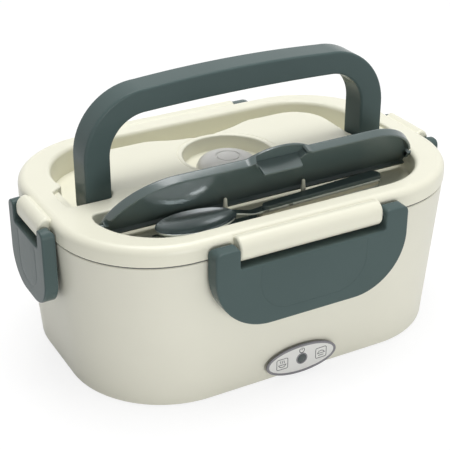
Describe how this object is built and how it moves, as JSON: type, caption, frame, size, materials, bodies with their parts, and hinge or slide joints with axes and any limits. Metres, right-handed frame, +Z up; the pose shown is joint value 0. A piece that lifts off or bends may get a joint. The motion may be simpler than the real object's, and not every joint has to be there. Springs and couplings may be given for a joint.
{
  "type": "electric lunch box",
  "caption": "Heated lunch box with a lift-off latched lid, fold-down carry handle, steam valve, covered cutlery recess and removable steel food tray.",
  "frame": {"origin": "on the ground under the middle of the box", "axes": "+X to the right along the box's length, -Y to the front with the badge, +Z up"},
  "size_m": [0.24, 0.167, 0.151],
  "materials": {
    "housing_plastic": "satin",
    "lid_plastic": "satin",
    "inner_plastic": "fine texture",
    "base_plastic": "fine texture",
    "slate_plastic": "satin",
    "black_plastic": "matte",
    "seal_silicone": "matte",
    "valve_silicone": "translucent satin",
    "feet_rubber": "matte",
    "stainless": "brushed",
    "polished_steel": "polished",
    "screw_steel": "plain",
    "aluminium_plate": "rolled",
    "heater_body": "matte",
    "phenolic": "matte",
    "wire_sheath": "satin",
    "board_green": "satin",
    "badge_white": "satin",
    "badge_grey": "satin",
    "lamp_glass": "glossy",
    "beige_plastic": "satin"
  },
  "bodies": {
    "housing": {"outer_housing": "housing_plastic", "heating_basin": "inner_plastic", "base_cover": "base_plastic", "base_screws": "screw_steel", "rubber_feet": "feet_rubber", "heating_plate": "aluminium_plate", "ptc_heater": "heater_body", "heater_clamp": "screw_steel", "clamp_screws": "screw_steel", "thermostat": "phenolic", "thermal_fuse": "badge_white", "power_inlet": "black_plastic", "inlet_pins": "screw_steel", "lead_wires": "wire_sheath", "lamp_board": "board_green", "board_screws": "screw_steel", "indicator_led": "badge_white", "light_guide": "lamp_glass", "badge_panel": "badge_white", "badge_ring": "badge_grey"},
    "tray": {"food_tray": "stainless"},
    "lid": {"lid_shell": "lid_plastic", "lid_inner_plate": "inner_plastic", "lid_seal": "seal_silicone", "long_latch_pins": "screw_steel", "short_latch_pins": "screw_steel"},
    "valve": {"steam_valve": "valve_silicone"},
    "cover": {"cutlery_cover": "slate_plastic"},
    "spoon": {"spoon": "polished_steel", "spoon_grip": "slate_plastic"},
    "fork": {"fork": "polished_steel", "fork_grip": "beige_plastic"},
    "handle": {"carry_handle": "slate_plastic", "handle_pins": "screw_steel"},
    "latch_front": {"front_latch": "slate_plastic"},
    "latch_rear": {"rear_latch": "slate_plastic"},
    "latch_left": {"left_latch": "slate_plastic"},
    "latch_right": {"right_latch": "slate_plastic"}
  },
  "joints": [
    {"name": "lid_lift", "type": "slide", "parent": "housing", "child": "lid", "axis": [0, 0, 1], "range_m": [0, 0.12]},
    {"name": "tray_lift", "type": "slide", "parent": "housing", "child": "tray", "axis": [0, 0, 1], "range_m": [0, 0.054]},
    {"name": "front_latch_hinge", "type": "hinge", "parent": "lid", "child": "latch_front", "pos_m": [0, -0.079, 0.087], "axis": [-1, 0, 0], "range_deg": [0, 90]},
    {"name": "rear_latch_hinge", "type": "hinge", "parent": "lid", "child": "latch_rear", "pos_m": [0, 0.079, 0.087], "axis": [1, 0, 0], "range_deg": [0, 90]},
    {"name": "left_latch_hinge", "type": "hinge", "parent": "lid", "child": "latch_left", "pos_m": [-0.1165, 0, 0.087], "axis": [0, 1, 0], "range_deg": [0, 90]},
    {"name": "right_latch_hinge", "type": "hinge", "parent": "lid", "child": "latch_right", "pos_m": [0.1165, 0, 0.087], "axis": [0, -1, 0], "range_deg": [0, 90]},
    {"name": "handle_fold", "type": "hinge", "parent": "lid", "child": "handle", "pos_m": [0, -0.001, 0.0887], "axis": [-1, 0, 0], "range_deg": [0, 90]},
    {"name": "cover_hinge", "type": "hinge", "parent": "lid", "child": "cover", "pos_m": [0, -0.0336, 0.0922], "axis": [-1, 0, 0], "range_deg": [-58, 0]},
    {"name": "valve_pull", "type": "slide", "parent": "lid", "child": "valve", "axis": [0, 0, 1], "range_m": [0, 0.025]},
    {"name": "spoon_lift", "type": "slide", "parent": "lid", "child": "spoon", "axis": [0, -0.6157, 0.788], "range_m": [0, 0.06]},
    {"name": "fork_lift", "type": "slide", "parent": "lid", "child": "fork", "axis": [0, -0.5, 0.866], "range_m": [0, 0.03]}
  ],
  "couplings": [
    {"joint": "tray_lift", "follows": "lid_lift", "ratio": 0.45},
    {"joint": "fork_lift", "follows": "spoon_lift", "ratio": 0.5}
  ]
}
